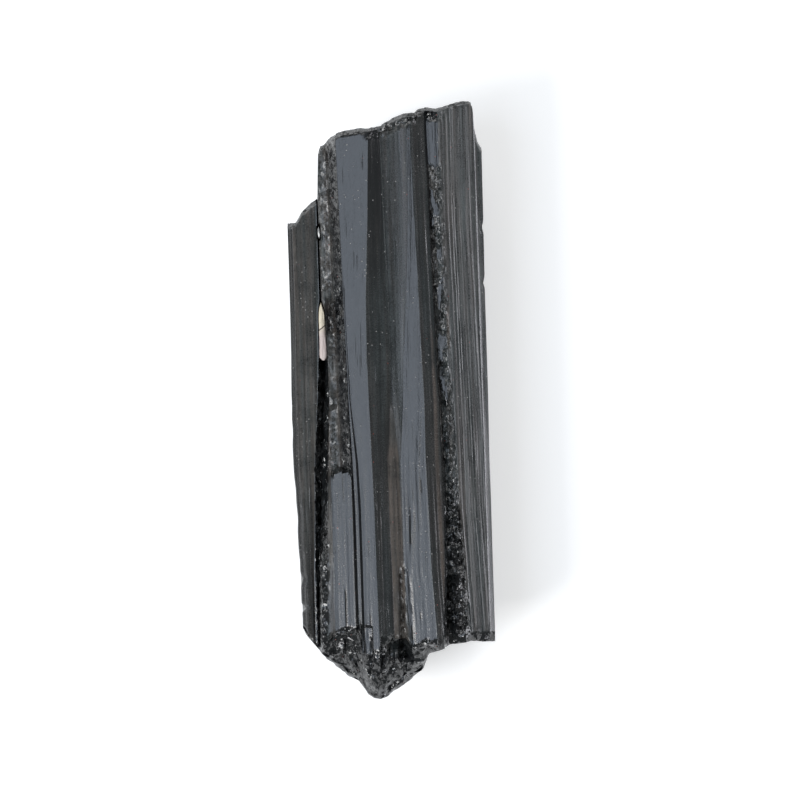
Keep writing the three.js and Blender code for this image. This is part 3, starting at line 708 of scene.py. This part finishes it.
# Relief: streaks of growth, short scratches, and facets of many directions in the split places.
crosswise = add_node(tree, "Mapping", {"Vector": place, "Scale": (0.05, 1.0, 0.05)}).outputs["Vector"]
ripples = noise(tree, crosswise, 4200.0, 2.0)
relief = compute(tree, "ADD", streaks, compute(tree, "MULTIPLY", fine_streaks, 0.5))
relief = compute(tree, "ADD", relief, compute(tree, "MULTIPLY", ripples, 0.35))
scratch = ramp(tree, noise(tree, lengthwise, 3300.0, 1.0), 0.67, 0.74)
scratch = compute(tree, "MULTIPLY", scratch, ramp(tree, noise(tree, place, 170.0, 1.0), 0.45, 0.6))
relief = compute(tree, "SUBTRACT", relief, compute(tree, "MULTIPLY", scratch, 0.9))
growth_bump = add_node(tree, "Bump", {"Height": relief, "Strength": 1.0, "Distance": 0.000022})
dust_bump = add_node(tree, "Bump", {"Height": compute(tree, "ADD", specks, is_pale), "Strength": 1.0,
                                    "Distance": 0.00002, "Normal": growth_bump.outputs["Normal"]})
normal = dust_bump.outputs["Normal"]
sparkle = compute(tree, "MULTIPLY", marks["broken"], ramp(tree, noise(tree, place, 420.0, 1.0), 0.1, 0.5))
for scale, spread in ((1000.0, 0.5), (2600.0, 0.3)):
    cells = add_node(tree, "TexVoronoi", {"Vector": place, "Scale": scale})
    middle_grey = (0.5, 0.5, 0.5)
    lean = add_node(tree, "VectorMath", {0: cells.outputs["Color"], 1: middle_grey}, operation="SUBTRACT")
    amount = compute(tree, "MULTIPLY", sparkle, 2.0 * spread)
    lean = add_node(tree, "VectorMath", {0: lean.outputs[0], "Scale": amount}, operation="SCALE")
    normal = add_node(tree, "VectorMath", {0: normal, 1: lean.outputs[0]}, operation="ADD").outputs[0]
normal = add_node(tree, "VectorMath", {0: normal}, operation="NORMALIZE").outputs[0]
tree.links.new(normal, shader.inputs["Normal"])
shader.inputs["IOR"].default_value = 1.64
mesh.materials.clear()
mesh.materials.append(schorl)
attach(crystal, "root")
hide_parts("tourmaline_crystal")

# ---- The feldspar sliver ------------------------------------------------------------------------------
# A long pale grain of feldspar grown into the seam between the two prisms: pointed towards the head,
# rounded at its foot, cream above and pinkish below, with one crack across it.
sliver_low, sliver_high = (np.array(corner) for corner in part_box("feldspar_sliver"))
bpy.ops.object.select_all(action="DESELECT")
bpy.ops.mesh.primitive_cube_add(size=2.0, location=(0.0, 0.0, 0.0))
sliver = bpy.context.object
sliver.name = "feldspar_sliver_detailed"
bpy.ops.object.mode_set(mode="EDIT")
bpy.ops.mesh.subdivide(number_cuts=23)
bpy.ops.object.mode_set(mode="OBJECT")

# The cube becomes a lens with a point. u, v and w run from -1 to 1 across, along and up it.
CRACK_AT = 0.14
CRACK_SLANT = 0.09
mesh = sliver.data
u, v, w = np.array([vertex.co for vertex in mesh.vertices]).T
top_side = w > 0.999
half_width = np.interp(v, [-1, -0.985, -0.95, -0.88, -0.8, -0.3, 0.25, 0.66, 0.81, 0.93, 1],
                       [0.35, 0.6, 0.82, 0.97, 1.0, 0.86, 0.82, 0.74, 0.52, 0.28, 0.07])
middle = np.interp(v, [-0.8, -0.3, 0.25, 0.66, 0.81, 1], [0.0, -0.05, -0.1, -0.11, -0.23, -0.16])
rounding = 1.0 - 0.07 * (u * w) ** 2
placed_x = middle + u * half_width * rounding + 0.05 * grain(v * 9.0, w * 2.0, 201) * np.abs(u)
crown = 0.8 + 0.2 * np.sqrt(np.clip(1 - (0.9 * u) ** 2, 0, 1)) - 0.10 * (v > 0.6) * (v - 0.6) / 0.4
crack = np.exp(-(((v - CRACK_AT - CRACK_SLANT * u) / 0.018) ** 2))
top_relief = 0.05 * grain(u * 2.5, v * 7.0, 203) - 0.10 * crack
placed_z = np.where(w > 0, w * crown, w) * rounding + top_side * top_relief
shape = np.stack([placed_x, v * (0.985 + 0.015 * (1 - u * u)), np.clip(placed_z, -1, 1)], axis=1)
sliver_points = (sliver_low + sliver_high) / 2 + shape * (sliver_high - sliver_low) / 2
mesh.vertices.foreach_set("co", sliver_points.ravel())
mesh.update()
bpy.ops.object.shade_smooth_by_angle(angle=math.radians(40.0))

feldspar = bpy.data.materials.new("feldspar")
feldspar.use_nodes = True
tree = feldspar.node_tree
shader = tree.nodes["Principled BSDF"]
place = add_node(tree, "TexCoord", {}).outputs["Object"]
along_y = add_node(tree, "SeparateXYZ", {0: place}).outputs["Y"]
lengthwise = add_node(tree, "Mapping", {"Vector": place, "Scale": (1.0, 0.12, 1.0)}).outputs["Vector"]
clouds = noise(tree, place, 900.0, 4.0, 0.6)
cleavage = noise(tree, lengthwise, 5200.0, 2.0)
sliver_foot, sliver_tip = float(sliver_low[1]), float(sliver_high[1])
upper_share = ramp(tree, compute(tree, "ADD", along_y, compute(tree, "MULTIPLY", clouds, 0.002)),
                   sliver_foot + 0.0045, sliver_foot + 0.0075)
cream = mix_color(tree, clouds, (0.60, 0.52, 0.38, 1.0), (0.78, 0.71, 0.58, 1.0))
pink = mix_color(tree, clouds, (0.47, 0.37, 0.34, 1.0), (0.66, 0.58, 0.56, 1.0))
color = mix_color(tree, upper_share, pink, cream)
cleavage_lines = compute(tree, "MULTIPLY", ramp(tree, cleavage, 0.55, 0.8), 0.35)
color = mix_color(tree, cleavage_lines, color, (0.30, 0.24, 0.20, 1.0))
dirt = ramp(tree, noise(tree, place, 2600.0, 2.0), 0.66, 0.74)
color = mix_color(tree, compute(tree, "MULTIPLY", dirt, 0.7), color, (0.12, 0.09, 0.07, 1.0))

# The crack, as a thin dark line that wanders a little.
across_x = add_node(tree, "SeparateXYZ", {0: place}).outputs["X"]
crack_y = float(sliver_points[:, 1].mean() + CRACK_AT * (sliver_tip - sliver_foot) / 2)
sliver_middle = float((sliver_low[0] + sliver_high[0]) / 2)
slanted = compute(tree, "MULTIPLY", compute(tree, "SUBTRACT", across_x, sliver_middle), 0.7)
offset = compute(tree, "SUBTRACT", compute(tree, "SUBTRACT", along_y, crack_y), slanted)
offset = compute(tree, "ADD", offset, compute(tree, "MULTIPLY", clouds, 0.0004))
from_crack = compute(tree, "ABSOLUTE", compute(tree, "SUBTRACT", offset, 0.0002))
crack_line = ramp(tree, from_crack, 0.00014, 0.00004)
color = mix_color(tree, crack_line, color, (0.05, 0.038, 0.03, 1.0))
tree.links.new(color, shader.inputs["Base Color"])
crack_depth = compute(tree, "MULTIPLY", crack_line, 2.0)
surface = compute(tree, "SUBTRACT", compute(tree, "ADD", clouds, cleavage), crack_depth)
bump = add_node(tree, "Bump", {"Height": surface, "Strength": 1.0, "Distance": 0.00003})
tree.links.new(bump.outputs["Normal"], shader.inputs["Normal"])
tree.links.new(ramp(tree, clouds, -0.6, 1.6), shader.inputs["Roughness"])
shader.inputs["IOR"].default_value = 1.53
mesh.materials.append(feldspar)
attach(sliver, "root")
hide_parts("feldspar_sliver")

# ---- The quartz chip ----------------------------------------------------------------------------------
# A splinter of milky quartz held in a small hole beside the seam. It is pointed at both ends, with a few
# flat chipped faces.
chip_low, chip_high = (np.array(corner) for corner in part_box("quartz_chip"))
bpy.ops.object.select_all(action="DESELECT")
bpy.ops.mesh.primitive_ico_sphere_add(subdivisions=5, radius=1.0, location=(0.0, 0.0, 0.0))
chip = bpy.context.object
chip.name = "quartz_chip_detailed"
mesh = chip.data
points = np.array([vertex.co for vertex in mesh.vertices])
directions = [
    (1, 0.2, 0.4), (-1, -0.1, 0.5), (0.3, 0.5, 1), (-0.2, -0.6, 0.9), (0.6, 0.9, 0.2), (-0.6, 0.8, -0.2),
    (0.5, -0.9, 0.1), (-0.5, -0.8, 0.3), (0.2, 0.1, -1), (0.9, -0.3, -0.5), (-0.9, 0.3, -0.5),
]
for direction in directions:  # each chipped face cuts a cap off the ball
    direction = np.array(direction) / np.linalg.norm(direction)
    beyond = np.clip(points @ direction - 0.8, 0.0, None)
    points = points - beyond[:, None] * direction
points[:, 0] = points[:, 0] * (1.0 - 0.55 * points[:, 1] ** 2)
points = points / np.abs(points).max(axis=0)
chip_points = (chip_low + chip_high) / 2 + points * (chip_high - chip_low) / 2
mesh.vertices.foreach_set("co", chip_points.ravel())
mesh.update()
bpy.ops.object.shade_smooth_by_angle(angle=math.radians(20.0))

quartz = bpy.data.materials.new("quartz")
quartz.use_nodes = True
tree = quartz.node_tree
shader = tree.nodes["Principled BSDF"]
place = add_node(tree, "TexCoord", {}).outputs["Object"]
clouds = noise(tree, place, 1500.0, 4.0, 0.6)
color = mix_color(tree, clouds, (0.78, 0.78, 0.76, 1.0), (0.96, 0.96, 0.95, 1.0))
tree.links.new(color, shader.inputs["Base Color"])
tree.links.new(ramp(tree, clouds, -0.2, 2.2), shader.inputs["Roughness"])
bump = add_node(tree, "Bump", {"Height": clouds, "Strength": 1.0, "Distance": 0.00003})
tree.links.new(bump.outputs["Normal"], shader.inputs["Normal"])
shader.inputs["IOR"].default_value = 1.55
mesh.materials.append(quartz)
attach(chip, "root")
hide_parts("quartz_chip")
